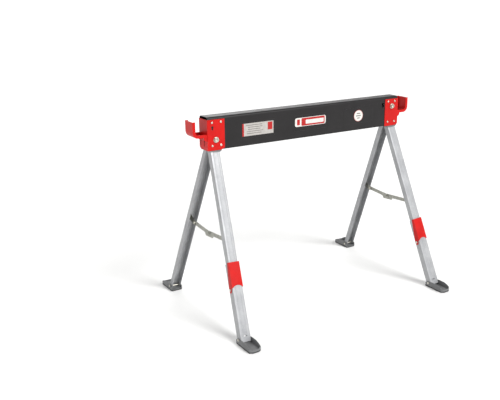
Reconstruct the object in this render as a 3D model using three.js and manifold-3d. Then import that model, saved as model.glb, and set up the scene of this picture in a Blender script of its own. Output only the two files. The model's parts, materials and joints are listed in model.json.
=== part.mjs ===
// Folding steel sawhorse. Millimetres, +Z up. X runs along the beam, -Y is the near side,
// and the origin is on the floor under the middle of the beam.
import * as THREE from 'three';
import Module from 'manifold-3d';
import { mergeVertices } from 'three/addons/utils/BufferGeometryUtils.js';

const wasm = await Module();
wasm.setup();

// Driving dimensions
const GAP = 0.3; // clearance between pieces that meet
const HEIGHT = 821; // floor to the top of the beam
const BEAM = { length: 956.4, depth: 129, wall: 1.5, shoulder: 10 };
const PANEL = { proud: 0.8, fromTop: 35, aboveBottom: 30, middle: 164, space: 93.5, endSpace: 71.5 };
const SLOT = { inset: 11, fromTop: 35, width: 12, height: 19 };
const BRACKET = { length: 75, wall: 1.5, fromTop: 10, below: 1, cutLong: 14, cutHigh: 7 };
const RIVET = { inset: 20, pitch: 38, fromTop: 11, aboveBottom: 19, radius: 3.2, proud: 1.2 };
const KEYHOLE = { y: [-7, 23], aboveBottom: 34, head: 4, slot: 2.2, drop: 18 };
const LATCH_HOLE = { inset: 22, fromTop: 30, radius: 5, neck: 3, drop: 11 };
const BOLT = { radius: 5, head: 9, headHigh: 6, washer: 11.5, washerThick: 1.6, nutHigh: 7 };
const BOLT_FROM_TOP = { left: 88.6, right: 42.3 };
const LEG = { splay: 23, lean: 3.6, width: 40, depth: 25, wall: 1.6, corner: 2.5, hingeRise: 1, apart: 1.1,
  frontBelow: 10.5 };
const GROOVE = { width: 16, deep: 1.4, slope: 2 };
const HINGE_PIN = { radius: 3.5, cheek: 2, head: 1.5, headRadius: 6, sideRoom: 0.5 };
const CARRIER = { beside: 8.5, wall: 1, above: 17, lipGap: 1.2, lipHigh: 5.8, chamfer: 8, legRoom: 0.46,
  endRoom: 0.54198 };
const ANKLE = { z: 19, radius: 3, head: 5 };
const LOWER = { aboveAnkle: 286.65, wall: 1.6, lip: 6 };
const DRAIN = { wide: 16, high: 3.6, aboveAnkle: 12 }; // the slot low in a lower leg's face
const UPPER_END = 93.65; // from the ankle to the end of a near upper leg
const LEVER = { overTop: 6, length: 97, pinBelow: 98, pinOut: -3, wall: 1.5, rivet: 3, rivetHead: 5,
  archRadius: 26, archHigh: 9 };
const BRACE = { aboveLower: 97, reach: 33, sag: 4, thick: 2.4, height: 16, bracketWall: 2.4, rivet: 3 };
const LOCK_PLATE = { length: 34, deep: 9 };
const FOOT = { sideRoom: 1.3, heel: 20, toe: 86, wall: 1.8, base: 1.8, high: 28, sole: 4.4, corner: 12,
  underLeg: 2.7 };
const CRADLE = { reach: 60, width: 62, flange: 12, bend: 24, wall: 2.4, shelfDown: 77, tabDown: 13,
  footDown: 93 };

const steel = (name, color, metalness, roughness) => {
  const material = new THREE.MeshStandardMaterial({ color, metalness, roughness });
  material.name = name;
  return material;
};
const FINISH = {
  black: steel('black_powder_coat', 0x302f31, 0.2, 0.5),
  red: steel('red_powder_coat', 0xcc1f1c, 0.15, 0.42),
  silver: steel('silver_powder_coat', 0xb9babc, 0.5, 0.45),
  zinc: steel('zinc_plate', 0xa6a69f, 0.8, 0.38),
  bolt: steel('bright_zinc_bolt', 0xc9c7bd, 0.85, 0.3),
  cast: steel('grey_pressed_foot', 0x6f7072, 0.35, 0.55),
  rubber: steel('black_rubber', 0x262626, 0, 0.9),
};

const rad = THREE.MathUtils.degToRad;
const spread = (side, from, to) => (side > 0 ? [from, to] : [-to, -from]);
const V = (x, y) => new THREE.Vector2(x, y);

// Heights and widths that follow from the driving dimensions
const splay = rad(LEG.splay);
const beamBottom = HEIGHT - BEAM.depth;
const bracketEnd = BEAM.length / 2 + GAP + BRACKET.wall;
const bracketInner = bracketEnd - BRACKET.length;
const bracketTop = HEIGHT - BRACKET.fromTop;
const bracketBottom = beamBottom - BRACKET.below;
const hingeZ = beamBottom + LEG.hingeRise;
const hingeY = LEG.depth / 2 + LEG.apart;
const lipTop = bracketBottom - CARRIER.lipGap;
const lipBottom = lipTop - CARRIER.lipHigh;
const carrierHalf = LEG.width / 2 + CARRIER.beside;
const carrierDrop = HEIGHT - Math.min(BOLT_FROM_TOP.left, BOLT_FROM_TOP.right) - lipBottom;
const carrierReach = carrierHalf + carrierDrop * Math.tan(rad(LEG.lean)) + CARRIER.endRoom;
const boltX = bracketEnd - BRACKET.wall - carrierReach;
const legSide = LEG.depth / 2 / Math.cos(splay) + (hingeZ - lipTop) * Math.tan(splay);
const carrierInner = hingeY + legSide + CARRIER.legRoom;
const beamInner = carrierInner + CARRIER.wall + GAP;
const beamHalf = beamInner + BEAM.wall;
const plateInner = beamHalf + GAP;
const plateOuter = plateInner + BRACKET.wall;

// Distances down a leg from its hinge
const ankleDrop = (hingeZ - ANKLE.z) / (Math.cos(splay) * Math.cos(rad(LEG.lean)));
const lowerTop = ankleDrop - LOWER.aboveAnkle;
const braceDown = lowerTop - BRACE.aboveLower;
const leverTop = lowerTop - LEVER.overTop;
const leverBottom = leverTop + LEVER.length;
const leverPin = lowerTop + LEVER.pinBelow;
const legEnd = ANKLE.z - FOOT.sole - GAP - FOOT.base - FOOT.underLeg; // radius about the ankle

// Half sizes of the telescoping lower leg, which runs outside the upper one
const lowerHalf = LEG.width / 2 + GAP + LOWER.wall;
const lowerBack = LEG.depth / 2 + GAP + LOWER.wall;
const footHalf = lowerHalf + FOOT.sideRoom + FOOT.wall;

// Solids
function solid(geometry) {
  const bare = new THREE.BufferGeometry();
  bare.setAttribute('position', geometry.getAttribute('position').clone());
  if (geometry.index) bare.setIndex(geometry.index.clone());
  const merged = mergeVertices(bare, 1e-4);
  const mesh = new wasm.Mesh({
    numProp: 3,
    vertProperties: new Float32Array(merged.getAttribute('position').array),
    triVerts: new Uint32Array(merged.index.array),
  });
  return new wasm.Manifold(mesh);
}

function geometryOf(body) {
  const mesh = body.getMesh();
  const geometry = new THREE.BufferGeometry();
  const flat = new Float32Array(mesh.triVerts.length * 3);
  mesh.triVerts.forEach((vertex, at) => {
    flat.set(mesh.vertProperties.slice(vertex * mesh.numProp, vertex * mesh.numProp + 3), at * 3);
  });
  geometry.setAttribute('position', new THREE.BufferAttribute(flat, 3));
  geometry.computeVertexNormals();
  return geometry;
}

function box(x0, x1, y0, y1, z0, z1) {
  const geometry = new THREE.BoxGeometry(x1 - x0, y1 - y0, z1 - z0);
  geometry.translate((x0 + x1) / 2, (y0 + y1) / 2, (z0 + z1) / 2);
  return solid(geometry);
}

// A cylinder from one end to the other along an axis, 'x', 'y' or 'z', through (a, b)
function rod(axis, radius, from, to, a, b, sides = 16) {
  const geometry = new THREE.CylinderGeometry(radius, radius, to - from, sides);
  const middle = (from + to) / 2;
  if (axis === 'x') geometry.rotateZ(-Math.PI / 2).translate(middle, a, b);
  if (axis === 'y') geometry.translate(a, middle, b);
  if (axis === 'z') geometry.rotateX(Math.PI / 2).translate(a, b, middle);
  return solid(geometry);
}

// An outline in (x, y) drawn along Z
function alongZ(outline, z0, z1) {
  const shape = outline instanceof THREE.Shape ? outline : new THREE.Shape(outline);
  const geometry = new THREE.ExtrudeGeometry(shape, {
    depth: z1 - z0, bevelEnabled: false, curveSegments: 5,
  });
  return solid(geometry.translate(0, 0, z0));
}

// An outline in (y, z) drawn along X
function alongX(outline, x0, x1) {
  const turn = new THREE.Matrix4().set(0, 0, 1, 0, 1, 0, 0, 0, 0, 1, 0, 0, 0, 0, 0, 1);
  return alongZ(outline, x0, x1).transform(turn.elements);
}

// An outline in (x, z) drawn along Y
function alongY(outline, y0, y1) {
  const turn = new THREE.Matrix4().makeRotationX(Math.PI / 2);
  return alongZ(outline, -y1, -y0).transform(turn.elements);
}

function piece(name, finish, body, parent) {
  const mesh = new THREE.Mesh(geometryOf(body), finish);
  mesh.name = name;
  parent.add(mesh);
  return mesh;
}

// The beam: an upside-down channel with rounded shoulders
function beamOutline(halfWidth, top, bottom, shoulder) {
  const shape = new THREE.Shape();
  shape.moveTo(-halfWidth, bottom);
  shape.lineTo(halfWidth, bottom);
  shape.lineTo(halfWidth, top - shoulder);
  shape.absarc(halfWidth - shoulder, top - shoulder, shoulder, 0, Math.PI / 2, false);
  shape.absarc(-halfWidth + shoulder, top - shoulder, shoulder, Math.PI / 2, Math.PI, false);
  return shape;
}

function panelSpans() {
  const middle = PANEL.middle / 2;
  const outer = [middle + PANEL.space, bracketInner - PANEL.endSpace];
  return [[-outer[1], -outer[0]], [-middle, middle], outer];
}

function beam() {
  const end = BEAM.length / 2;
  const outer = beamOutline(beamHalf, HEIGHT, beamBottom, BEAM.shoulder);
  const inner = beamOutline(beamInner, HEIGHT - BEAM.wall, beamBottom - 5, BEAM.shoulder - BEAM.wall);
  let body = alongX(outer, -end, end).subtract(alongX(inner, -end - 5, end + 5));
  const reach = beamHalf + PANEL.proud;
  const high = [beamBottom + PANEL.aboveBottom, HEIGHT - PANEL.fromTop];
  for (const [from, to] of panelSpans()) {
    body = body.add(box(from, to, -reach, -beamInner - 0.5, ...high));
    body = body.add(box(from, to, beamInner + 0.5, reach, ...high));
  }
  const x = bracketInner - SLOT.inset;
  const z = HEIGHT - SLOT.fromTop;
  const across = [x - SLOT.width / 2, x + SLOT.width / 2];
  const tall = [z - SLOT.height / 2, z + SLOT.height / 2];
  body = body.subtract(box(...across, -beamHalf - 3, -beamInner + 3, ...tall));
  for (const [side, sx] of [['left', -1], ['right', 1]]) {
    const through = [-reach - 5, reach + 5];
    body = body.subtract(rod('y', BOLT.radius + GAP, ...through, sx * boltX, HEIGHT - BOLT_FROM_TOP[side]));
  }
  return body;
}

// A red end bracket: two side plates and an end plate. The same pressing serves both ends,
// turned half a turn, so near and far plates have their bottom cut at opposite corners.
function sidePlate(sx, cutAtEnd) {
  const inner = sx * bracketInner;
  const end = sx * bracketEnd;
  const { cutLong, cutHigh } = BRACKET;
  const corner = cutAtEnd
    ? [V(inner, bracketBottom), V(end - sx * cutLong, bracketBottom), V(end, bracketBottom + cutHigh)]
    : [V(inner, bracketBottom + cutHigh), V(inner + sx * cutLong, bracketBottom), V(end, bracketBottom)];
  return [...corner, V(end, bracketTop), V(inner, bracketTop)];
}

function keyhole(x0, x1, y, z, head, slot, drop) {
  const round = rod('x', head, x0, x1, y, z, 16);
  const foot = rod('x', slot, x0, x1, y, z - drop, 12);
  return round.add(foot).add(box(x0, x1, y - slot, y + slot, z - drop, z));
}

// The end plate, with its bottom corner cut on the side where the side plate is cut
function endPlate(sx) {
  const corner = plateOuter - BRACKET.cutLong;
  const outline = [V(sx * plateOuter, bracketBottom), V(-sx * corner, bracketBottom),
    V(-sx * plateOuter, bracketBottom + BRACKET.cutHigh),
    V(-sx * plateOuter, bracketTop), V(sx * plateOuter, bracketTop)];
  let body = alongX(outline, ...spread(sx, bracketEnd - BRACKET.wall, bracketEnd));
  for (const y of KEYHOLE.y) {
    const { aboveBottom, head, slot, drop } = KEYHOLE;
    const through = spread(sx, bracketEnd - 5, bracketEnd + 5);
    body = body.subtract(keyhole(...through, y, bracketBottom + aboveBottom, head, slot, drop));
  }
  return body;
}

// The keyhole in the near plate of the left bracket
function latchHole() {
  const { inset, fromTop, radius, neck, drop } = LATCH_HOLE;
  const x = inset - bracketEnd;
  const z = bracketTop - fromTop;
  const through = [-plateOuter - 3, -plateInner + 3];
  const round = rod('y', radius, ...through, x, z);
  return round.add(box(x - neck, x + neck, ...through, z - drop, z));
}

function bracketRivet(x, z, side) {
  return rod('y', RIVET.radius, ...spread(side, plateInner + 0.5, plateOuter + RIVET.proud), x, z, 10);
}

function endBracket(sx, boltZ) {
  const near = alongY(sidePlate(sx, sx > 0), -plateOuter, -plateInner);
  const far = alongY(sidePlate(sx, sx < 0), plateInner, plateOuter);
  let body = near.add(far).add(endPlate(sx));
  body = body.subtract(rod('y', BOLT.radius + GAP, -plateOuter - 5, plateOuter + 5, sx * boltX, boltZ));
  if (sx < 0) body = body.subtract(latchHole());
  for (const z of [bracketTop - RIVET.fromTop, bracketBottom + RIVET.aboveBottom]) {
    for (const inset of [RIVET.inset, RIVET.inset + RIVET.pitch]) {
      const x = sx * (bracketEnd - inset);
      body = body.add(bracketRivet(x, z, -1)).add(bracketRivet(x, z, 1));
    }
  }
  return body;
}

// The cross bolt that the leg carrier hangs from, with its flanged head on the near side
function pivotBolt(x, z) {
  const face = plateOuter + GAP;
  const shank = rod('y', BOLT.radius, -face - 1, face + BOLT.nutHigh + 4, x, z);
  const washer = rod('y', BOLT.washer, -face - BOLT.washerThick, -face, x, z, 24);
  const headTop = -face - BOLT.washerThick - BOLT.headHigh;
  const head = rod('y', BOLT.head, headTop, -face - BOLT.washerThick + 0.2, x, z, 24);
  const socket = rod('y', 4.6, headTop - 2, headTop + 3.5, x, z, 6);
  return shank.add(washer).add(head).subtract(socket);
}

function pivotNut(x, z) {
  const face = plateOuter + GAP;
  const flange = rod('y', BOLT.washer - 1, face, face + 1.5, x, z, 20);
  const nut = rod('y', BOLT.head, face + 1, face + BOLT.nutHigh, x, z, 6);
  return flange.add(nut).subtract(rod('y', BOLT.radius + GAP, face - 2, face + 20, x, z));
}

// The timber cradle: a channel bent into a J, hung on the end plate
function cradleLine() {
  const { reach, bend } = CRADLE;
  const shelfZ = HEIGHT - CRADLE.shelfDown;
  const corner = new THREE.EllipseCurve(reach - bend, shelfZ + bend, bend, bend, -Math.PI / 2, 0);
  return [V(0, shelfZ), ...corner.getPoints(8), V(reach, HEIGHT - CRADLE.tabDown)];
}

// The same line moved sideways by a distance, to its left
function offsetLine(points, distance) {
  return points.map((point, i) => {
    const before = points[Math.max(i - 1, 0)];
    const after = points[Math.min(i + 1, points.length - 1)];
    const run = after.clone().sub(before).normalize();
    return point.clone().add(V(-run.y * distance, run.x * distance));
  });
}

function band(points, from, to) {
  return [...offsetLine(points, from), ...offsetLine(points, to).reverse()];
}

function cradle(sx) {
  const start = bracketEnd + GAP;
  const line = cradleLine();
  const place = (points) => points.map((p) => V(sx * (start + p.x), p.y));
  const half = CRADLE.width / 2;
  const { wall, flange } = CRADLE;
  const inside = half - wall;
  const footZ = HEIGHT - CRADLE.footDown;
  const shelfZ = HEIGHT - CRADLE.shelfDown;
  const gusset = [V(0, footZ), V(wall, footZ), V(flange, footZ + 6),
    V(flange + 2, shelfZ + 3), V(0, shelfZ + 3)];
  const arm = alongY(place(band(line, 0, flange)), -half, half);
  const mount = alongY(place(gusset), -half, half);
  const armRoom = alongY(place(band(line, wall, flange + 2)), -inside, inside);
  const under = box(...spread(sx, start + wall, start + flange + 5), -inside, inside, footZ - 5, shelfZ);
  return mount.subtract(under).add(arm).subtract(armRoom);
}

// The leg carrier, in its own frame: the bolt is the origin and -Z runs down the leg pair
function carrier(drop) {
  const { wall, above, chamfer } = CARRIER;
  const halfWidth = carrierHalf;
  const inner = carrierInner;
  const outer = inner + wall;
  const knee = lipTop - hingeZ - drop;
  const foot = lipBottom - hingeZ - drop;
  const flare = (knee - foot) * Math.tan(splay);
  const cheek = LEG.width / 2 + HINGE_PIN.sideRoom;
  const cheekOuter = cheek + HINGE_PIN.cheek;
  const cheekTop = BOLT.radius + 7;
  let body = null;
  const join = (more) => { body = body ? body.add(more) : more; };
  for (const sy of [-1, 1]) {
    const plate = new THREE.Shape();
    plate.moveTo(-halfWidth, knee);
    plate.lineTo(halfWidth, knee);
    plate.lineTo(halfWidth, -10);
    plate.absarc(0, 0, above, -0.2, Math.PI + 0.2, false);
    plate.lineTo(-halfWidth, -10);
    join(alongY(plate, ...spread(sy, inner, outer)));
    const section = [V(sy * inner, knee + 0.5), V(sy * outer, knee + 0.5), V(sy * outer, knee),
      V(sy * (outer + flare), foot), V(sy * (inner + flare), foot), V(sy * inner, knee)];
    const lip = alongX(section, -halfWidth, halfWidth);
    const face = [V(-halfWidth, knee + 1), V(-halfWidth, foot + 1), V(-halfWidth + 1, foot),
      V(halfWidth - chamfer, foot), V(halfWidth, knee - 1), V(halfWidth, knee + 1)];
    join(lip.intersect(alongY(face, -60, 60)));
  }
  for (const sx of [-1, 1]) {
    join(box(...spread(sx, cheek, cheekOuter), -inner - 0.5, inner + 0.5, -drop - 8, -cheekTop));
  }
  body = body.subtract(rod('y', BOLT.radius + GAP, -60, 60, 0, 0));
  for (const sy of [-1, 1]) {
    const bore = HINGE_PIN.radius + GAP;
    body = body.subtract(rod('x', bore, -60, 60, sy * hingeY, -drop));
  }
  return body;
}

function hingePin() {
  const cheek = LEG.width / 2 + HINGE_PIN.sideRoom + HINGE_PIN.cheek + GAP;
  const end = cheek + HINGE_PIN.head;
  const { radius, headRadius } = HINGE_PIN;
  const shank = rod('x', radius, -end + 0.2, end - 0.2, 0, 0);
  return shank.add(rod('x', headRadius, -end, -cheek, 0, 0)).add(rod('x', headRadius, cheek, end, 0, 0));
}

// Leg sections. A leg's frame has its hinge at the origin, -Z down the leg, and the face with
// the groove towards out, which is -1 for the near legs and 1 for the far legs.
function channelOutline(half, open, back, wall, lip, out) {
  const g = GROOVE.width / 2;
  const s = GROOVE.slope;
  const d = GROOVE.deep;
  const r = LEG.corner;
  const c = r * 0.28;
  const outer = [[half, open], [half, back - r], [half - c, back - c], [half - r, back],
    [g + s, back], [g, back - d], [-g, back - d], [-g - s, back],
    [-half + r, back], [-half + c, back - c], [-half, back - r], [-half, open]];
  const face = back - wall;
  const side = half - wall;
  const inner = [[-side, face], [-g - s, face], [-g, face - d], [g, face - d], [g + s, face], [side, face]];
  const ends = lip
    ? [[[-half + lip, open], [-half + lip, open + wall], [-side, open + wall]],
      [[side, open + wall], [half - lip, open + wall], [half - lip, open]]]
    : [[[-side, open]], [[side, open]]];
  return [...outer, ...ends[0], ...inner, ...ends[1]].map(([x, n]) => V(x, out * n));
}

// The end of a leg: rounded about the ankle pin behind, so that the foot can turn under it,
// and square in front, where it reaches down into the foot
function ankleEnd(out) {
  const shape = new THREE.Shape();
  const wide = lowerBack + 5;
  const n = (value) => out * value;
  shape.moveTo(n(wide), 20);
  shape.lineTo(n(wide), -ankleDrop - LEG.frontBelow);
  shape.lineTo(n(4), -ankleDrop - LEG.frontBelow);
  for (const turn of [-90, -115, -140, -165, -180]) {
    shape.lineTo(n(legEnd * Math.cos(rad(turn))), -ankleDrop + legEnd * Math.sin(rad(turn)));
  }
  shape.lineTo(n(-wide), -ankleDrop + legEnd + 2);
  shape.lineTo(n(-wide), 20);
  return alongX(shape, -lowerHalf - 5, lowerHalf + 5);
}

// The top of a leg, rounded about its hinge pin
function legTop() {
  const shape = new THREE.Shape();
  const wide = LEG.depth;
  const radius = LEG.depth / 2 - 2;
  shape.moveTo(-wide, -ankleDrop - 40);
  shape.lineTo(wide, -ankleDrop - 40);
  shape.lineTo(wide, -8);
  shape.absarc(0, 0, radius, 0, Math.PI, false);
  shape.lineTo(-wide, -8);
  return alongX(shape, -LEG.width, LEG.width);
}

function legChannel(out, bottom) {
  const half = LEG.width / 2;
  const deep = LEG.depth / 2;
  return alongZ(channelOutline(half, -deep, deep, LEG.wall, 0, out), -bottom, deep);
}

function hingeBore() {
  return rod('x', HINGE_PIN.radius + GAP, -60, 60, 0, 0);
}

function ankleBore() {
  return rod('x', ANKLE.radius + GAP, -60, 60, 0, -ankleDrop);
}

function upperLeg(out) {
  return legChannel(out, ankleDrop - UPPER_END).intersect(legTop()).subtract(hingeBore());
}

// The groove stops above the ankle, where the face is flat and thicker
function groovePad(half, back, wall, out) {
  const flat = spread(out, back - wall - GROOVE.deep, back);
  return box(-half + 3, half - 3, ...flat, -ankleDrop - 20, -ankleDrop + 20);
}

function farLeg(out) {
  const pad = groovePad(LEG.width / 2, LEG.depth / 2, LEG.wall, out);
  const tube = legChannel(out, ankleDrop + 20).intersect(legTop());
  return tube.add(pad).intersect(ankleEnd(out)).subtract(hingeBore()).subtract(ankleBore());
}

// The telescoping lower leg, a lipped channel
function lowerLeg(out) {
  const outline = channelOutline(lowerHalf, -lowerBack, lowerBack, LOWER.wall, LOWER.lip, out);
  const tube = alongZ(outline, -ankleDrop - 20, -lowerTop);
  const pad = groovePad(lowerHalf, lowerBack, LOWER.wall, out);
  const drain = rod('y', DRAIN.high / 2, -4, 4, 0, 0, 12).scale([DRAIN.wide / DRAIN.high, 1, 1]);
  let body = tube.add(pad).intersect(ankleEnd(out)).subtract(ankleBore());
  body = body.subtract(drain.translate([0, out * lowerBack, DRAIN.aboveAnkle - ankleDrop]));
  return body.subtract(leverBore(out));
}

function leverBore(out) {
  return rod('x', LEVER.rivet + GAP, -60, 60, out * LEVER.pinOut, -leverPin);
}

// The red lock lever: a clip over the face and both sides, with a tab down each side
function leverSide(out) {
  const front = lowerBack + GAP + LEVER.wall;
  const { pinOut } = LEVER;
  const n = (value) => out * value;
  const shape = new THREE.Shape();
  shape.moveTo(n(front), -leverTop);
  shape.lineTo(n(front), -leverBottom);
  shape.lineTo(n(7), -leverBottom - 3);
  shape.lineTo(n(pinOut + 8), -leverPin - 8);
  shape.quadraticCurveTo(n(pinOut), -leverPin - 17, n(pinOut - 7), -leverPin - 8);
  shape.lineTo(n(pinOut - 8), -leverPin + 12);
  shape.lineTo(n(2), -leverTop - 14);
  shape.lineTo(n(5), -leverTop);
  return shape;
}

function lockLever(out) {
  const { archRadius, archHigh } = LEVER;
  const inside = lowerHalf + GAP;
  const outside = inside + LEVER.wall;
  const hollow = spread(out, -40, lowerBack + GAP);
  const arch = rod('y', archRadius, -40, 40, 0, -leverBottom + archHigh - archRadius, 40);
  const face = box(-30, 30, ...spread(out, 9, 30), -ankleDrop, 0);
  const shell = alongX(leverSide(out), -outside, outside);
  const open = shell.subtract(box(-inside, inside, ...hollow, -ankleDrop, 0));
  return open.subtract(arch.intersect(face)).subtract(leverBore(out));
}

// One of the two short rivets that the lever turns on, through the lower leg's side wall
function leverRivet(side) {
  const inner = lowerHalf - LOWER.wall + 0.1;
  const head = lowerHalf + GAP + LEVER.wall + GAP;
  const shank = rod('x', LEVER.rivet, ...spread(side, inner, head + 0.5), 0, 0);
  return shank.add(rod('x', LEVER.rivetHead, ...spread(side, head, head + 1.6), 0, 0));
}

function crossPin(half, radius, headRadius) {
  const end = half + 1.6;
  const shank = rod('x', radius, -end + 0.2, end - 0.2, 0, 0);
  const heads = rod('x', headRadius, -end, -half, 0, 0).add(rod('x', headRadius, half, end, 0, 0));
  return shank.add(heads);
}

// Brace parts. side is 1 for the pieces on the near leg and -1 for those on the far leg:
// the two links lie side by side, each next to its own bracket.
const linkPlane = GAP / 2;
const bracketPlane = linkPlane + BRACE.thick + GAP;

function braceBracket(side, out) {
  const back = LEG.depth / 2 - LEG.wall - GROOVE.deep - GAP;
  const n = (value) => out * value;
  const tab = new THREE.Shape();
  const r = BRACE.height / 2;
  tab.moveTo(n(back), -braceDown + 12);
  tab.lineTo(n(-12), -braceDown + 12);
  tab.lineTo(n(-BRACE.reach), -braceDown + r);
  tab.quadraticCurveTo(n(-BRACE.reach - r), -braceDown + r, n(-BRACE.reach - r), -braceDown);
  tab.quadraticCurveTo(n(-BRACE.reach - r), -braceDown - r, n(-BRACE.reach), -braceDown - r);
  tab.lineTo(n(-12), -braceDown - 12);
  tab.lineTo(n(back), -braceDown - 12);
  const xs = spread(side, bracketPlane, bracketPlane + BRACE.bracketWall);
  const flange = spread(out, back - BRACE.bracketWall, back);
  const wide = spread(side, bracketPlane, LEG.width / 2 - 2.5);
  const foot = box(...wide, ...flange, -braceDown - 12, -braceDown + 12);
  const bore = rod('x', BRACE.rivet + GAP, -60, 60, n(-BRACE.reach), -braceDown);
  return alongX(tab, ...xs).add(foot).subtract(bore);
}

// How far out a brace pivot stands at rest, seen from its carrier
const pivotOut = hingeY + braceDown * Math.sin(splay) - BRACE.reach * Math.cos(splay);
const linkLength = pivotOut / Math.cos(rad(BRACE.sag));

// A link in its own frame: the leg pivot at the origin, the middle pivot on +Y
function braceLink(side) {
  const r = BRACE.height / 2;
  const shape = new THREE.Shape();
  const end = linkLength;
  shape.absarc(0, 0, r, Math.PI / 2, (3 * Math.PI) / 2, false);
  if (side > 0) {
    const { length, deep } = LOCK_PLATE;
    shape.lineTo(end - length, -r);
    shape.lineTo(end - length + 7, -r - deep);
    shape.lineTo(end + length - 8, -r - deep);
    shape.lineTo(end + length, -r - 1);
    shape.lineTo(end + length, -r + 3);
    shape.lineTo(end + 12, r - 5);
    shape.lineTo(end + 5, r);
  } else {
    shape.absarc(end, 0, r, -Math.PI / 2, Math.PI / 2, false);
  }
  const body = alongX(shape, ...spread(side, linkPlane, linkPlane + BRACE.thick));
  const bore = BRACE.rivet + GAP;
  const leg = body.subtract(rod('x', bore, -60, 60, 0, 0));
  return leg.subtract(rod('x', bore, -60, 60, end, 0));
}

// The rivet at a link's leg end, through its bracket and the link
function endRivet(side) {
  const outer = bracketPlane + BRACE.bracketWall + GAP;
  const inner = linkPlane;
  const shank = rod('x', BRACE.rivet, ...spread(side, inner, outer + 1), 0, 0);
  return shank.add(rod('x', 5.5, ...spread(side, outer, outer + 1.6), 0, 0));
}

// The middle rivet sits in the near link and stops short of the far one: this is the pivot
// left open
function middleRivet() {
  const outer = linkPlane + BRACE.thick + GAP;
  const shank = rod('x', BRACE.rivet, linkPlane, outer + 1, 0, 0);
  return shank.add(rod('x', 5.5, outer, outer + 1.6, 0, 0));
}

// The foot, in a frame with the ankle pin at the origin, level with the floor, toe towards out
function footPlan(out, inset) {
  const half = footHalf - inset;
  const toe = FOOT.toe - inset;
  const heel = -FOOT.heel + inset;
  const { corner } = FOOT;
  const points = [[-half + 3, heel], [half - 3, heel], [half, heel + 3], [half, toe - corner * 0.6],
    [half - corner, toe], [-half + corner, toe], [-half, toe - corner * 0.6], [-half, heel + 3]];
  return points.map(([x, y]) => V(x, out * y));
}

function footShell(out, lean) {
  const floor = -ANKLE.z + FOOT.sole + GAP;
  const shape = new THREE.Shape();
  const y = (value) => out * value;
  const crest = FOOT.high - ANKLE.z;
  shape.moveTo(y(-FOOT.heel), floor);
  shape.lineTo(y(-FOOT.heel), -6);
  shape.quadraticCurveTo(y(-FOOT.heel), -2, y(-FOOT.heel + 7), 1);
  shape.lineTo(y(-5), 6);
  shape.lineTo(y(20), crest);
  shape.lineTo(y(46), crest);
  shape.quadraticCurveTo(y(70), crest - 4, y(FOOT.toe - 4), -6);
  shape.lineTo(y(FOOT.toe), -7);
  shape.lineTo(y(FOOT.toe), floor);
  const block = alongX(shape, -footHalf, footHalf).intersect(alongZ(footPlan(out, 0), -60, 60));
  const cavity = alongZ(footPlan(out, FOOT.wall), floor + FOOT.base, 60);
  const open = footHalf - FOOT.wall;
  const heelOpen = spread(out, -FOOT.heel - 5, -FOOT.heel + 6);
  const back = box(-open, open, ...heelOpen, floor + FOOT.base, 60);
  const tilt = [0, THREE.MathUtils.radToDeg(lean), 0];
  const bore = rod('x', ANKLE.radius + GAP, -60, 60, 0, 0).rotate(tilt);
  return block.subtract(cavity).subtract(back).subtract(bore);
}

function sole(out) {
  return alongZ(footPlan(out, 0), -ANKLE.z, -ANKLE.z + FOOT.sole);
}

// Assembly
const sawhorse = new THREE.Group();
sawhorse.name = 'folding_sawhorse';
piece('top_beam', FINISH.black, beam(), sawhorse);

function foot(name, out, leg, lean) {
  const turn = new THREE.Quaternion().setFromEuler(new THREE.Euler(0, lean, 0));
  turn.multiply(new THREE.Quaternion().setFromEuler(new THREE.Euler(out * splay, 0, 0)));
  const group = new THREE.Group();
  group.position.set(0, 0, -ankleDrop);
  group.quaternion.copy(turn.clone().invert());
  leg.add(group);
  piece(`${name}_foot`, FINISH.cast, footShell(out, lean), group);
  piece(`${name}_foot_sole`, FINISH.rubber, sole(out), group);
  const pin = crossPin(footHalf + 0.7, ANKLE.radius, ANKLE.head);
  piece(`${name}_ankle_pin`, FINISH.bolt, pin, group).quaternion.copy(turn);
}

function linkGroup(side, out, leg) {
  const group = new THREE.Group();
  group.position.set(0, out * -BRACE.reach, -braceDown);
  const aim = rad(LEG.splay - BRACE.sag);
  group.rotation.x = side > 0 ? aim : Math.PI - aim;
  leg.add(group);
  return group;
}

function legAssembly(end, row, out, carrierGroup, lean, drop) {
  const name = `${row}_${end}`;
  const leg = new THREE.Group();
  leg.position.set(0, out * hingeY, -drop);
  leg.rotation.x = out * splay;
  carrierGroup.add(leg);
  const side = -out;
  piece(`${name}_hinge_pin`, FINISH.zinc, hingePin(), leg);
  if (row === 'near') {
    piece(`${name}_upper_leg`, FINISH.silver, upperLeg(out), leg);
    piece(`${name}_lower_leg`, FINISH.silver, lowerLeg(out), leg);
    piece(`${name}_lock_lever`, FINISH.red, lockLever(out), leg);
    for (const [hand, sx] of [['left', -1], ['right', 1]]) {
      const rivet = piece(`${name}_lever_rivet_${hand}`, FINISH.bolt, leverRivet(sx), leg);
      rivet.position.set(0, out * LEVER.pinOut, -leverPin);
    }
  } else {
    piece(`${name}_leg`, FINISH.silver, farLeg(out), leg);
  }
  piece(`${name}_brace_bracket`, FINISH.zinc, braceBracket(side, out), leg);
  const turned = linkGroup(side, out, leg);
  piece(`${name}_brace_link`, FINISH.zinc, braceLink(side), turned);
  piece(`${name}_brace_rivet`, FINISH.bolt, endRivet(side), turned);
  if (row === 'near') {
    const rivet = piece(`${end}_brace_middle_rivet`, FINISH.bolt, middleRivet(), turned);
    rivet.position.set(0, linkLength, 0);
  }
  foot(name, out, leg, lean);
}

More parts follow.
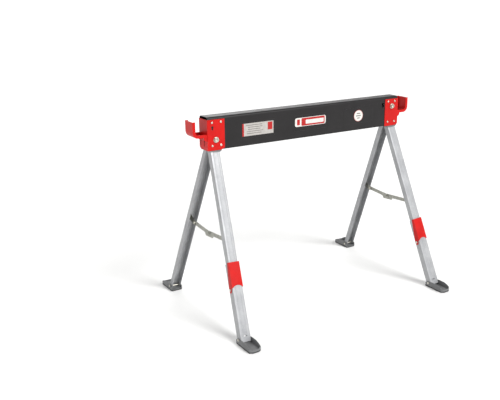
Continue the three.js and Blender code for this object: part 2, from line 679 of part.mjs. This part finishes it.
for (const [end, sx] of [['left', -1], ['right', 1]]) {
  const boltZ = HEIGHT - BOLT_FROM_TOP[end];
  piece(`${end}_end_bracket`, FINISH.red, endBracket(sx, boltZ), sawhorse);
  piece(`${end}_pivot_bolt`, FINISH.bolt, pivotBolt(sx * boltX, boltZ), sawhorse);
  piece(`${end}_pivot_nut`, FINISH.bolt, pivotNut(sx * boltX, boltZ), sawhorse);
  piece(`${end}_timber_cradle`, FINISH.red, cradle(sx), sawhorse);
  const drop = (boltZ - hingeZ) / Math.cos(rad(LEG.lean));
  const hung = new THREE.Group();
  hung.position.set(sx * boltX, 0, boltZ);
  hung.rotation.y = -sx * rad(LEG.lean);
  sawhorse.add(hung);
  piece(`${end}_leg_carrier`, FINISH.cast, carrier(drop), hung);
  legAssembly(end, 'near', -1, hung, hung.rotation.y, drop);
  legAssembly(end, 'far', 1, hung, hung.rotation.y, drop);
}

export default sawhorse;
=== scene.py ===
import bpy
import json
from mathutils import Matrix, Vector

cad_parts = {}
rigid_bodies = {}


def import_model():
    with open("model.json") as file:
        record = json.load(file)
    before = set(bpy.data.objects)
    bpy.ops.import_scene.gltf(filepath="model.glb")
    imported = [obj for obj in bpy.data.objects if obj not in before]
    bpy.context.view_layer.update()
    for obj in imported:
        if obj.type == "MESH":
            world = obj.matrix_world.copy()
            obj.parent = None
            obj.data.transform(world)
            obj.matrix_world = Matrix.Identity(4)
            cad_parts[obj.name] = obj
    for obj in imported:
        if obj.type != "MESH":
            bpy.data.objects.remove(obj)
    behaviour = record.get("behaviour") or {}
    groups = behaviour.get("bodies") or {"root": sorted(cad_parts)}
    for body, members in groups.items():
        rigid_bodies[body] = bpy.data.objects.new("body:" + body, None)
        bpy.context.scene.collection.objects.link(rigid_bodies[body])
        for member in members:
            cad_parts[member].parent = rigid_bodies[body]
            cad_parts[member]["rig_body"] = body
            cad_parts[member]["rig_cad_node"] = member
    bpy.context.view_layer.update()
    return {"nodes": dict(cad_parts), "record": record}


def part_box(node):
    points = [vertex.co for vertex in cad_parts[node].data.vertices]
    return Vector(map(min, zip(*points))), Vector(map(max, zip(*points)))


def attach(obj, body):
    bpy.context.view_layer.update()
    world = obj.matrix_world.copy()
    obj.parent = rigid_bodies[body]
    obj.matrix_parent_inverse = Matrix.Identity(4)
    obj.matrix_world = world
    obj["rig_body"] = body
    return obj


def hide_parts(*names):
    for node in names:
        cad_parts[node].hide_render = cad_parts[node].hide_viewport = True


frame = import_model()

import json
import math
import bpy
import bmesh
from mathutils import Matrix, Vector

MM = 0.001  # one millimetre in the scene's metres
NODES = frame["nodes"]
BODY_OF = {node: body for body, nodes in frame["record"]["behaviour"]["bodies"].items() for node in nodes}
SLOT_OF = {row["node"]: row["material_slot"] for row in frame["record"]["subparts"]}


# Materials

# How wide one patch of each pattern is, in millimetres
CLOUD_MM = 71.4  # slow drift of shade in a powder coat
SMEAR_MM = 26.3  # handling smears in its gloss
HIGHLIGHT_BREAK_MM = 6.25  # breaks along the painted edge highlight
FLAKE_MM = 1.111  # metallic flake of about 0.1 mm, drawn coarser so that it shows
ZINC_CLOUD_MM = 16.67  # uneven plating
RUBBER_GRAIN_MM = 1.923  # sparked mould texture
RUBBER_DUST_MM = 22.2  # dust in the hollows
INK_MM = 11.1  # drift of the ink on a label
EDGE_HIGHLIGHT_MM = 1.6  # how far from a fold the painted edge highlight reaches


def scale_of(patch_mm):
    """The scale of a pattern whose patches are patch_mm wide."""
    return 1 / (patch_mm * MM)


def linear(hex_colour):
    """An sRGB hex colour as linear red, green, blue and alpha."""
    parts = [int(hex_colour[i:i + 2], 16) / 255 for i in (0, 2, 4)]
    return [c / 12.92 if c <= 0.04045 else ((c + 0.055) / 1.055) ** 2.4 for c in parts] + [1.0]


def add(tree, kind, settings=None, values=None, links=None):
    """A node with its settings, socket values and links."""
    made = tree.nodes.new(kind)
    for name, value in (settings or {}).items():
        setattr(made, name, value)
    for name, value in (values or {}).items():
        made.inputs[name].default_value = value
    for name, source in (links or {}).items():
        tree.links.new(source, made.inputs[name])
    return made


def blank(name, **shader_values):
    """A new material, its node tree, its shader and the place on the object in metres."""
    material = bpy.data.materials.new(name)
    material.use_nodes = True
    tree = material.node_tree
    shader = tree.nodes["Principled BSDF"]
    for socket, value in shader_values.items():
        shader.inputs[socket.replace("_", " ")].default_value = value
    return material, tree, shader, add(tree, "ShaderNodeTexCoord").outputs["Object"]


def ramp(tree, source, low, high, low_colour, high_colour):
    """Two colours across a range of a grey value."""
    made = add(tree, "ShaderNodeValToRGB", links={"Fac": source})
    stops = made.color_ramp.elements
    stops[0].position = low
    stops[0].color = low_colour
    stops[1].position = high
    stops[1].color = high_colour
    return made.outputs["Color"]


WHITE = (1, 1, 1, 1)
BLACK = (0, 0, 0, 1)


def powder_coat(name, base, shade, edge_highlight, gloss, peel_mm=3.0, peel_depth=0.06, edge=0.5, metallic=0.0,
                specular=0.5):
    """Powder coat on sheet steel: slightly cloudy colour, orange peel in the gloss, a paler painted
    highlight along the edges, broken like rubbed wear.
    """
    material, tree, shader, place = blank(name, Metallic=metallic, IOR=1.5, Specular_IOR_Level=specular)
    clouds = add(tree, "ShaderNodeTexNoise",
                 values={"Scale": scale_of(CLOUD_MM), "Detail": 4, "Roughness": 0.6},
                 links={"Vector": place})
    colour = ramp(tree, clouds.outputs["Fac"], 0.35, 0.68, linear(shade), linear(base))
    # the coat's own peel is finer, drawn at peel_mm so that it shows
    peel = add(tree, "ShaderNodeTexNoise", values={"Scale": scale_of(peel_mm), "Detail": 2},
               links={"Vector": place})
    # painted edge highlight: paler where a rounded normal leaves the flat one, in broken lengths like
    # rubbed wear
    round_edge = add(tree, "ShaderNodeBevel", {"samples": 4}, {"Radius": EDGE_HIGHLIGHT_MM * MM})
    flat = add(tree, "ShaderNodeNewGeometry")
    along = add(tree, "ShaderNodeVectorMath", {"operation": "DOT_PRODUCT"})
    tree.links.new(round_edge.outputs[0], along.inputs[0])
    tree.links.new(flat.outputs["Normal"], along.inputs[1])
    rim = ramp(tree, along.outputs["Value"], 0.86, 0.985, WHITE, BLACK)
    highlight_breaks = add(tree, "ShaderNodeTexNoise",
                values={"Scale": scale_of(HIGHLIGHT_BREAK_MM), "Detail": 5, "Roughness": 0.7},
                links={"Vector": place})
    broken = ramp(tree, highlight_breaks.outputs["Fac"], 0.44, 0.62, BLACK, WHITE)
    mask = add(tree, "ShaderNodeMath", {"operation": "MULTIPLY"})
    tree.links.new(rim, mask.inputs[0])
    tree.links.new(broken, mask.inputs[1])
    share = add(tree, "ShaderNodeMath", {"operation": "MULTIPLY"}, {1: edge})
    tree.links.new(mask.outputs[0], share.inputs[0])
    # the paler colour laid over the coat along its edges: a painted edge highlight
    mixed = add(tree, "ShaderNodeMix", {"data_type": "RGBA"}, {"B": linear(edge_highlight)},
                {"Factor": share.outputs[0], "A": colour})
    tree.links.new(mixed.outputs["Result"], shader.inputs["Base Color"])
    smears = add(tree, "ShaderNodeTexNoise",
                 values={"Scale": scale_of(SMEAR_MM), "Detail": 6, "Roughness": 0.65},
                 links={"Vector": place})
    rough = add(tree, "ShaderNodeMapRange",
                values={"From Min": 0.3, "From Max": 0.7, "To Min": gloss - 0.07, "To Max": gloss + 0.09},
                links={"Value": smears.outputs["Fac"]})
    tree.links.new(rough.outputs["Result"], shader.inputs["Roughness"])
    bump = add(tree, "ShaderNodeBump", values={"Strength": peel_depth, "Distance": 0.3 * MM},
               links={"Height": peel.outputs["Fac"]})
    tree.links.new(bump.outputs["Normal"], shader.inputs["Normal"])
    return material


def silver_coat(name):
    """Metallic silver powder coat on rolled channel: fine bright flake in a grey ground."""
    # the third colour is the painted edge highlight
    material = powder_coat(name, "AFB0B1", "9C9D9F", "C8C8C8", 0.42,
                           peel_mm=2.4, edge=0.25, metallic=0.35)
    tree = material.node_tree
    shader = tree.nodes["Principled BSDF"]
    place = next(node for node in tree.nodes if node.type == "TEX_COORD").outputs["Object"]
    under = shader.inputs["Base Color"].links[0].from_socket
    flake = add(tree, "ShaderNodeTexVoronoi", values={"Scale": scale_of(FLAKE_MM)},
                links={"Vector": place})
    glint = ramp(tree, flake.outputs["Color"], 0.1, 0.9, linear("D9DADC"), WHITE)
    tint = add(tree, "ShaderNodeMix", {"data_type": "RGBA", "blend_type": "MULTIPLY"},
               {"Factor": 0.9}, {"A": under, "B": glint})
    tree.links.new(tint.outputs["Result"], shader.inputs["Base Color"])
    return material


def zinc(name, base, shade, gloss, grain_mm):
    """Zinc plate on pressed steel: a metal with faint crystalline patches and a yellowish cast."""
    material, tree, shader, place = blank(name, Metallic=1.0)
    patches = add(tree, "ShaderNodeTexVoronoi", values={"Scale": scale_of(grain_mm)},
                  links={"Vector": place})
    clouds = add(tree, "ShaderNodeTexNoise", values={"Scale": scale_of(ZINC_CLOUD_MM), "Detail": 5},
                 links={"Vector": place})
    blend = add(tree, "ShaderNodeMix", {"data_type": "RGBA"}, {"Factor": 0.6},
                {"A": patches.outputs["Color"], "B": clouds.outputs["Color"]})
    grey = add(tree, "ShaderNodeRGBToBW", links={"Color": blend.outputs["Result"]})
    colour = ramp(tree, grey.outputs["Val"], 0.3, 0.7, linear(shade), linear(base))
    tree.links.new(colour, shader.inputs["Base Color"])
    rough = add(tree, "ShaderNodeMapRange",
                values={"From Min": 0.3, "From Max": 0.7, "To Min": gloss - 0.06, "To Max": gloss + 0.12},
                links={"Value": grey.outputs["Val"]})
    tree.links.new(rough.outputs["Result"], shader.inputs["Roughness"])
    bump = add(tree, "ShaderNodeBump", values={"Strength": 0.08, "Distance": 0.2 * MM},
               links={"Height": clouds.outputs["Fac"]})
    tree.links.new(bump.outputs["Normal"], shader.inputs["Normal"])
    return material


def rubber(name):
    """Moulded nitrile rubber: matt black with a fine sparked texture and grey dust in the hollows."""
    material, tree, shader, place = blank(name, IOR=1.52)
    grain = add(tree, "ShaderNodeTexNoise", values={"Scale": scale_of(RUBBER_GRAIN_MM), "Detail": 4},
                links={"Vector": place})
    dust = add(tree, "ShaderNodeTexNoise", values={"Scale": scale_of(RUBBER_DUST_MM), "Detail": 6},
               links={"Vector": place})
    colour = ramp(tree, dust.outputs["Fac"], 0.4, 0.72, linear("1E1E1F"), linear("3A3A3A"))
    tree.links.new(colour, shader.inputs["Base Color"])
    rough = add(tree, "ShaderNodeMapRange", values={"To Min": 0.7, "To Max": 0.95},
                links={"Value": grain.outputs["Fac"]})
    tree.links.new(rough.outputs["Result"], shader.inputs["Roughness"])
    bump = add(tree, "ShaderNodeBump", values={"Strength": 0.35, "Distance": 0.4 * MM},
               links={"Height": grain.outputs["Fac"]})
    tree.links.new(bump.outputs["Normal"], shader.inputs["Normal"])
    return material


def label_vinyl(name, base, shade):
    """Printed vinyl film: nearly even ink under a satin varnish, its tone drifting a little."""
    material, tree, shader, place = blank(name, IOR=1.46)
    ink = add(tree, "ShaderNodeTexNoise", values={"Scale": scale_of(INK_MM), "Detail": 4},
              links={"Vector": place})
    colour = ramp(tree, ink.outputs["Fac"], 0.35, 0.65, linear(shade), linear(base))
    tree.links.new(colour, shader.inputs["Base Color"])
    rough = add(tree, "ShaderNodeMapRange", values={"To Min": 0.28, "To Max": 0.42},
                links={"Value": ink.outputs["Fac"]})
    tree.links.new(rough.outputs["Result"], shader.inputs["Roughness"])
    return material


# The finish of each material slot in the record. The colours are the finish, a darker shade of it
# and, on powder coat, a paler painted edge highlight. The number after them is the roughness.
FINISH = {
    "black_powder_coat": powder_coat("black_satin_powder_coat", "1C1A1B", "161415", "4A4848", 0.38,
                                     specular=0.3),
    "red_powder_coat": powder_coat("red_gloss_powder_coat", "BA0F0A", "AC0C08", "D9564A", 0.36,
                                   specular=0.2),
    "silver_powder_coat": silver_coat("silver_metallic_powder_coat"),
    "zinc_plate": zinc("zinc_plated_pressed_steel", "A9A9A1", "84847E", 0.38, grain_mm=6),
    "bright_zinc": zinc("bright_zinc_fasteners", "D6D3C8", "ABA79B", 0.26, grain_mm=2),
    "grey_pressed_steel": powder_coat("grey_matt_powder_coat", "707172", "5F6061", "939496", 0.55,
                                      peel_mm=2.0, peel_depth=0.12),
    "black_rubber": rubber("black_nitrile_rubber"),
}
PALE_FILM = label_vinyl("pale_grey_label_film", "ABA7A3", "9E9A96")
RED_FILM = label_vinyl("red_label_film", "A80D0C", "980B0A")
GREY_FILM = label_vinyl("grey_label_film", "6B6865", "5C5956")
WHITE_FILM = label_vinyl("white_label_film", "CFCDC9", "C3C0BB")


# Shaping

SMOOTH_DEG = 32  # a fold flatter than this is shaded as one curved face
FLAT_DEG = 0.5  # faces that meet flatter than this are one flat face
WELD_MM = 0.01  # corners closer than this are one corner


def deselect():
    if bpy.context.object and bpy.context.object.mode != "OBJECT":
        bpy.ops.object.mode_set(mode="OBJECT")
    bpy.ops.object.select_all(action="DESELECT")


def pick(piece):
    deselect()
    piece.select_set(True)
    bpy.context.view_layer.objects.active = piece


def finish_modifier(piece, kind, **settings):
    pick(piece)
    modifier = piece.modifiers.new(kind.lower(), kind)
    for name, value in settings.items():
        setattr(modifier, name, value)
    bpy.ops.object.modifier_apply(modifier=modifier.name)


def settle(piece, body, material):
    """Puts the place into the mesh, gives the finish and rides on the body."""
    pick(piece)
    bpy.ops.object.transform_apply(location=True, rotation=True, scale=True)
    piece.data.materials.clear()
    piece.data.materials.append(material)
    bpy.ops.object.shade_smooth_by_angle(angle=math.radians(SMOOTH_DEG))
    finish_modifier(piece, "WEIGHTED_NORMAL", keep_sharp=True)
    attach(piece, body)


def dressed(node, edge_mm):
    """A CAD node's shape as one merged skin with its edges rounded to edge_mm."""
    source = NODES[node]
    piece = source.copy()
    piece.data = source.data.copy()
    piece.name = node + "_dressed"
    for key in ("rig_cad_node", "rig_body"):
        if key in piece:
            del piece[key]
    piece.parent = None
    piece.matrix_world = Matrix.Identity(4)
    bpy.context.scene.collection.objects.link(piece)
    pick(piece)
    bpy.ops.object.mode_set(mode="EDIT")
    bpy.ops.mesh.select_all(action="SELECT")
    bpy.ops.mesh.remove_doubles(threshold=WELD_MM * MM)
    bpy.ops.mesh.dissolve_limited(angle_limit=math.radians(FLAT_DEG))
    bpy.ops.mesh.quads_convert_to_tris(quad_method="BEAUTY", ngon_method="BEAUTY")
    bpy.ops.object.mode_set(mode="OBJECT")
    finish_modifier(piece, "BEVEL", width=edge_mm * MM, segments=2, limit_method="ANGLE",
                    angle_limit=math.radians(SMOOTH_DEG), miter_outer="MITER_ARC",
                    use_clamp_overlap=True)
    settle(piece, BODY_OF[node], FINISH[SLOT_OF[node]])
    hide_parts(node)


# The rounding of each kind of piece's edges, in millimetres. The first kind in a node's name counts.
EDGES = {
    "sole": 0.8,
    "foot": 0.6,
    "link": 0.5,
    "rivet": 0.5,
    "lever": 0.6,
    "pin": 0.4,
    "carrier": 0.3,
    "cradle": 0.8,
    "nut": 0.4,
    "bolt": 0.5,
    "bracket": 0.5,
    "beam": 0.45,
    "leg": 0.45,
}
for node in NODES:
    kind = next(kind for kind in EDGES if kind in node)
    dressed(node, EDGES[kind])


# Rivet heads on the bracket plates

bracket_low, bracket_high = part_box("right_end_bracket")
STUD_MM = 1.2  # how far the bracket's own rivet studs stand off its plates
PLATE_FACE = bracket_high.y - STUD_MM * MM
RIVET_UP = (bracket_low.z + 19 * MM, bracket_high.z - 11 * MM)
RIVET_OUT = (bracket_high.x - 20 * MM, bracket_high.x - 58 * MM)
HEAD_RADIUS = 4.3 * MM
HEAD_HEIGHT = 1.9 * MM


def rivet_head(name, radius, height):
    """A rivet head standing up towards -Y: a raised crown, dished in the middle, edges rounded."""
    deselect()
    bpy.ops.mesh.primitive_cylinder_add(vertices=24, radius=radius, depth=height,
                                        rotation=(math.pi / 2, 0, 0), location=(0, -height / 2, 0))
    piece = bpy.context.object
    piece.name = name
    bpy.ops.object.transform_apply(location=True, rotation=True, scale=True)
    bpy.ops.object.mode_set(mode="EDIT")
    bpy.ops.mesh.select_all(action="DESELECT")
    mesh = bmesh.from_edit_mesh(piece.data)
    for face in mesh.faces:
        face.select = face.normal.y < -0.9
    bmesh.update_edit_mesh(piece.data)
    # up to the crown, then down into the dish
    bpy.ops.mesh.inset(thickness=radius * 0.45, depth=height * 0.35)
    bpy.ops.mesh.inset(thickness=radius * 0.2, depth=-height * 0.25)
    bpy.ops.object.mode_set(mode="OBJECT")
    finish_modifier(piece, "BEVEL", width=height * 0.22, segments=2, limit_method="ANGLE",
                    angle_limit=math.radians(20))
    return piece


def copied(source, name, place, turn=0.0):
    """A copy with its own mesh, turned about Z and moved to its place."""
    piece = source.copy()
    piece.data = source.data.copy()
    piece.name = name
    bpy.context.scene.collection.objects.link(piece)
    piece.matrix_world = Matrix.Translation(place) @ Matrix.Rotation(turn, 4, "Z")
    return piece


pattern = rivet_head("plate_rivet_pattern", HEAD_RADIUS, HEAD_HEIGHT)
for end, sx in (("left", -1), ("right", 1)):
    for side, sy in (("near", -1), ("far", 1)):
        turn = 0 if side == "near" else math.pi
        for row, up in zip(("low", "high"), RIVET_UP):
            for column, out in zip(("end", "inner"), RIVET_OUT):
                head = copied(pattern, f"{end}_{side}_plate_rivet_{row}_{column}",
                              Vector((sx * out, sy * PLATE_FACE, up)), turn)
                settle(head, "beam", FINISH["bright_zinc"])
bpy.data.objects.remove(pattern)


# Labels on the near face of the beam: plain colour fields, in millimetres

PANEL_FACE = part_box("top_beam")[0].y
GROUND = 0.3  # how far the front of each layer stands off the panel
PRINT = 0.4
OVERPRINT = 0.5


def film(name, x, z, width, height, corner, lift_mm, material):
    """A thin film with rounded corners on the near face, its front lifted by lift_mm."""
    deselect()
    bpy.ops.mesh.primitive_plane_add(size=1, rotation=(math.pi / 2, 0, 0),
                                     location=(x * MM, PANEL_FACE - lift_mm * MM, z * MM))
    piece = bpy.context.object
    piece.name = name
    piece.scale = (width * MM, height * MM, 1)
    bpy.ops.object.transform_apply(location=True, rotation=True, scale=True)
    bpy.ops.object.mode_set(mode="EDIT")
    bpy.ops.mesh.select_all(action="SELECT")
    bpy.ops.mesh.bevel(offset=corner * MM, segments=5, affect="VERTICES")
    # back towards the panel, but not onto it
    bpy.ops.mesh.extrude_region_move(TRANSFORM_OT_translate={"value": (0, lift_mm * MM * 0.9, 0)})
    bpy.ops.mesh.select_all(action="SELECT")
    bpy.ops.mesh.normals_make_consistent(inside=False)
    bpy.ops.object.mode_set(mode="OBJECT")
    settle(piece, "beam", material)


def disc(name, x, z, radius, lift_mm, material):
    """A round film: corners of almost the whole half width, so that no two corners meet."""
    film(name, x, z, radius * 2, radius * 2, radius * 0.999, lift_mm, material)


# Rating label: a pale field with a red strip down its left edge, five bars and a red box
RATING_X = -254
RATING_Z = 755
RATING_WIDE = 144
RATING_HIGH = 50
STRIP_WIDE = 7
BAR_HIGH = 2.2
BAR_STEP = 8.2
film("rating_label_ground", RATING_X, RATING_Z, RATING_WIDE, RATING_HIGH, 1, GROUND, PALE_FILM)
film("rating_label_red_edge", RATING_X - (RATING_WIDE - STRIP_WIDE) / 2, RATING_Z, STRIP_WIDE,
     RATING_HIGH, 0.8, PRINT, RED_FILM)
for row in range(5):
    # ragged bars: each second one sits 4 mm further right, and three lengths take turns
    film(f"rating_label_line_{row + 1}", RATING_X - 18 + 4 * (row % 2),
         RATING_Z + 17 - BAR_STEP * row, 76 - 9 * (row % 3), BAR_HIGH, 0.5, PRINT, GREY_FILM)
film("rating_label_red_box", RATING_X + 56, RATING_Z + 6, 22, 31, 1.5, PRINT, RED_FILM)

# Middle label: a white field with a red one on it, a white bar on that, and a red box at its left
MIDDLE_Z = 758
film("middle_label_ground", 1, MIDDLE_Z, 156, 36, 8, GROUND, WHITE_FILM)
film("middle_label_red_field", 14, MIDDLE_Z, 118, 32, 3, PRINT, RED_FILM)
film("middle_label_white_field", 22, MIDDLE_Z - 1, 92, 17, 2, OVERPRINT, WHITE_FILM)
film("middle_label_red_box", -60, MIDDLE_Z, 14, 24, 2, PRINT, RED_FILM)

# Round label: a white disc with a thin red rim and three bars
ROUND_X = 255
ROUND_Z = 754
ROUND_RADIUS = 25
ROUND_RIM = 1.4
disc("round_label_rim", ROUND_X, ROUND_Z, ROUND_RADIUS, GROUND, RED_FILM)
disc("round_label_ground", ROUND_X, ROUND_Z, ROUND_RADIUS - ROUND_RIM, PRINT, WHITE_FILM)
for row, width in enumerate((18, 26, 14)):
    film(f"round_label_bar_{row + 1}", ROUND_X, ROUND_Z + 10 - 10 * row, width, 4, 1, OVERPRINT,
         GREY_FILM)


# Camera, light and floor

EYE = (-1.735, -2.4377, 1.3304)  # to the left of the near face, in metres
LOOK_DOWN_DEG = 16.6
LOOK_RIGHT_DEG = 33.3
LENS_MM = 52.31
FRAME_SHIFT = (-0.058, -0.014)


def aim_camera():
    """Standing to the left of the near face, looking slightly down along the beam."""
    bpy.ops.object.camera_add(location=EYE, rotation=(math.radians(90 - LOOK_DOWN_DEG), 0,
                                                      math.radians(-LOOK_RIGHT_DEG)))
    camera = bpy.context.object
    camera.data.lens = LENS_MM
    camera.data.sensor_width = 36
    camera.data.shift_x, camera.data.shift_y = FRAME_SHIFT
    camera.data.clip_end = 60
    bpy.context.scene.camera = camera


def soft_sun(name, tilt, turn, power, softness):
    """A sun tilted off straight down and turned about Z, softness degrees wide."""
    bpy.ops.object.light_add(type="SUN", rotation=(math.radians(tilt), 0, math.radians(turn)))
    lamp = bpy.context.object
    lamp.name = name
    lamp.data.energy = power
    lamp.data.angle = math.radians(softness)


deselect()
aim_camera()

# A broad soft key from the near right, a weaker fill from the left and a third light behind
soft_sun("key_light", tilt=52, turn=16, power=3.4, softness=28)
soft_sun("fill_light", tilt=58, turn=-72, power=1.1, softness=60)
soft_sun("back_light", tilt=58, turn=164, power=1.3, softness=50)

OVERHEAD = (0.34, 0.34, 0.34, 1)
world = bpy.data.worlds.new("white_studio")
world.use_nodes = True
studio = world.node_tree
way = add(studio, "ShaderNodeTexCoord")
height = add(studio, "ShaderNodeSeparateXYZ", links={"Vector": way.outputs["Generated"]})
# white where the wall meets the floor, so that no line shows there, and dimmer overhead
wall = ramp(studio, height.outputs["Z"], 0.02, 0.3, WHITE, OVERHEAD)
studio.links.new(wall, studio.nodes["Background"].inputs["Color"])
bpy.context.scene.world = world
bpy.context.scene.view_settings.view_transform = "Standard"

FLOOR_SIZE = 600  # metres, wide enough to meet the wall at the horizon
FLOOR_DROP = 0.4 * MM  # clear of the soles, so that the two don't share a plane
deselect()
bpy.ops.mesh.primitive_plane_add(size=FLOOR_SIZE, location=(0, 0, -FLOOR_DROP))
floor = bpy.context.object
floor.name = "studio_floor"
floor_paint, _, floor_shader, _ = blank("pale_studio_paint", Roughness=0.9)
floor_shader.inputs["Base Color"].default_value = linear("EAEAE9")
floor.data.materials.append(floor_paint)
